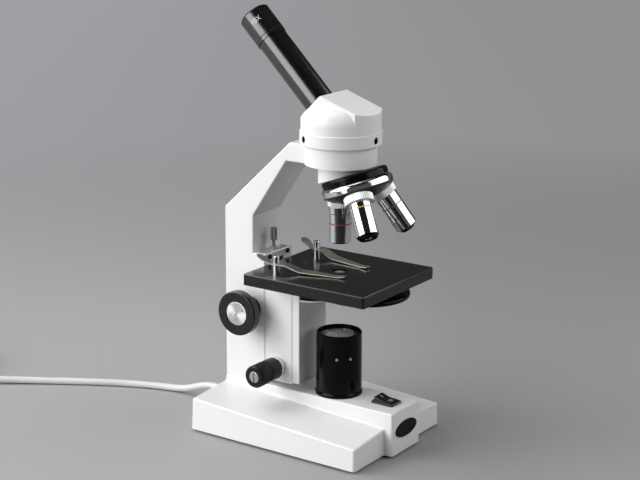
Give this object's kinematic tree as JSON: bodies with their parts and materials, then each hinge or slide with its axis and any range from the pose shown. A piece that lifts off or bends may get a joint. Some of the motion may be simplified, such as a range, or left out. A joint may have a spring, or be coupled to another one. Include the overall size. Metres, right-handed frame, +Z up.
{
  "type": "microscope",
  "caption": "Upright student microscope with an inclined eyepiece tube, a turning nosepiece, a focusing stage with spring clips and a lamp in the base.",
  "frame": {"origin": "on the table under the middle of the base", "axes": "+X towards the switch end of the base, +Y to the far side, +Z up"},
  "size_m": [0.5295, 0.241, 0.3653],
  "materials": {
    "white_paint": "gloss",
    "black_paint": "gloss",
    "plate_steel": "satin",
    "foot_rubber": "matte",
    "cord_rubber": "satin",
    "tie_plastic": "matte",
    "badge_plastic": "gloss",
    "switch_plastic": "gloss",
    "socket_plastic": "matte",
    "knob_plastic": "satin",
    "eyepiece_black": "satin",
    "black_screw": "satin",
    "bright_steel": "satin",
    "spring_steel": "satin",
    "bright_aluminium": "satin",
    "chrome": "polished",
    "brass": "satin",
    "clear_glass": "polished"
  },
  "bodies": {
    "stand": {"base_casting": "white_paint", "bottom_plate": "plate_steel", "rubber_feet": "foot_rubber", "foot_screws": "bright_steel", "badge_plate": "badge_plastic", "arm_casting": "white_paint", "arm_bolts": "bright_steel", "slide_cap": "bright_aluminium", "slide_cap_screws": "black_screw", "stop_screw": "bright_steel", "stop_nut": "bright_steel", "pinion_bushes": "brass", "nosepiece_mount": "white_paint", "nosepiece_plate": "black_paint", "turret_screw": "bright_steel", "lamp_house": "black_paint", "lamp_lens_ring": "black_paint", "lamp_lens": "clear_glass", "lamp_socket": "socket_plastic", "lamp_bulb": "clear_glass", "lamp_screws": "bright_steel", "switch_body": "switch_plastic", "cord_gland": "cord_rubber", "power_cord": "cord_rubber", "cord_coil": "cord_rubber", "cord_tie": "tie_plastic", "mains_plug": "cord_rubber", "plug_blades": "brass"},
    "head_group": {"head_housing": "white_paint", "head_screws": "black_screw", "prism": "clear_glass", "body_tube": "black_paint"},
    "eyepiece_group": {"eyepiece_barrel": "eyepiece_black", "eyepiece_lenses": "clear_glass"},
    "turret_group": {"turret": "chrome", "objective_4": "chrome", "objective_10": "chrome", "objective_40": "chrome", "objective_lenses": "clear_glass"},
    "coarse_carriage": {"coarse_block": "white_paint", "coarse_rack": "brass", "fine_sleeves": "bright_aluminium"},
    "coarse_shaft_group": {"pinion_shaft": "bright_steel", "coarse_knobs": "knob_plastic", "coarse_caps": "bright_aluminium"},
    "fine_shaft_group": {"fine_shaft": "bright_steel", "fine_knobs": "knob_plastic", "fine_knob_screws": "bright_steel"},
    "wedge_group": {"wedge_nut": "brass"},
    "stage_group": {"front_plate": "white_paint", "stage_bracket": "black_paint", "stage_screws": "bright_steel", "stage_plate": "black_paint", "condenser_lens": "clear_glass", "clip_posts": "bright_steel", "diaphragm_screw": "bright_steel"},
    "near_clip_group": {"clip_near": "spring_steel"},
    "far_clip_group": {"clip_far": "spring_steel"},
    "diaphragm_group": {"diaphragm_disc": "black_paint"},
    "rocker_group": {"switch_rocker": "switch_plastic"}
  },
  "joints": [
    {"name": "head_turn", "type": "hinge", "parent": "stand", "child": "head_group", "pos_m": [0.0203, 0, 0.26], "axis": [0, 0, 1], "continuous": true},
    {"name": "eyepiece_turn", "type": "hinge", "parent": "head_group", "child": "eyepiece_group", "pos_m": [0.001, 0, 0.2869], "axis": [-0.7071, 0, 0.7071], "continuous": true},
    {"name": "turret_turn", "type": "hinge", "parent": "stand", "child": "turret_group", "pos_m": [0.0203, 0, 0.268], "axis": [0.342, 0, -0.9397], "continuous": true},
    {"name": "coarse_slide", "type": "slide", "parent": "stand", "child": "coarse_carriage", "axis": [0, 0, 1], "range_m": [-0.004, 0.014]},
    {"name": "coarse_knob_turn", "type": "hinge", "parent": "stand", "child": "coarse_shaft_group", "pos_m": [-0.058, 0, 0.1054], "axis": [0, -1, 0], "range_deg": [-55, 192]},
    {"name": "fine_knob_turn", "type": "hinge", "parent": "coarse_carriage", "child": "fine_shaft_group", "pos_m": [-0.0305, 0, 0.057], "axis": [0, -1, 0], "range_deg": [-721, 721]},
    {"name": "fine_slide", "type": "slide", "parent": "coarse_carriage", "child": "stage_group", "axis": [0, 0, 1], "range_m": [-0.0008, 0.0008]},
    {"name": "wedge_slide", "type": "slide", "parent": "coarse_carriage", "child": "wedge_group", "axis": [0, -1, 0], "range_m": [-0.00405, 0.00405]},
    {"name": "near_clip_swing", "type": "hinge", "parent": "stage_group", "child": "near_clip_group", "pos_m": [-0.024, -0.03, 0.15], "axis": [0, 0, 1], "range_deg": [-75, 12]},
    {"name": "far_clip_swing", "type": "hinge", "parent": "stage_group", "child": "far_clip_group", "pos_m": [-0.024, 0.03, 0.15], "axis": [0, 0, -1], "range_deg": [-75, 12]},
    {"name": "diaphragm_turn", "type": "hinge", "parent": "stage_group", "child": "diaphragm_group", "pos_m": [0.0459, 0, 0.132], "axis": [0, 0, 1], "continuous": true},
    {"name": "rocker_tilt", "type": "hinge", "parent": "stand", "child": "rocker_group", "pos_m": [0.0684, 0, 0.041], "axis": [0, -1, 0], "range_deg": [0, 18]}
  ],
  "couplings": [
    {"joint": "coarse_knob_turn", "follows": "coarse_slide", "rad_per_m": 238.1},
    {"joint": "fine_knob_turn", "follows": "fine_slide", "rad_per_m": 15708},
    {"joint": "wedge_slide", "follows": "fine_slide", "ratio": 5}
  ]
}
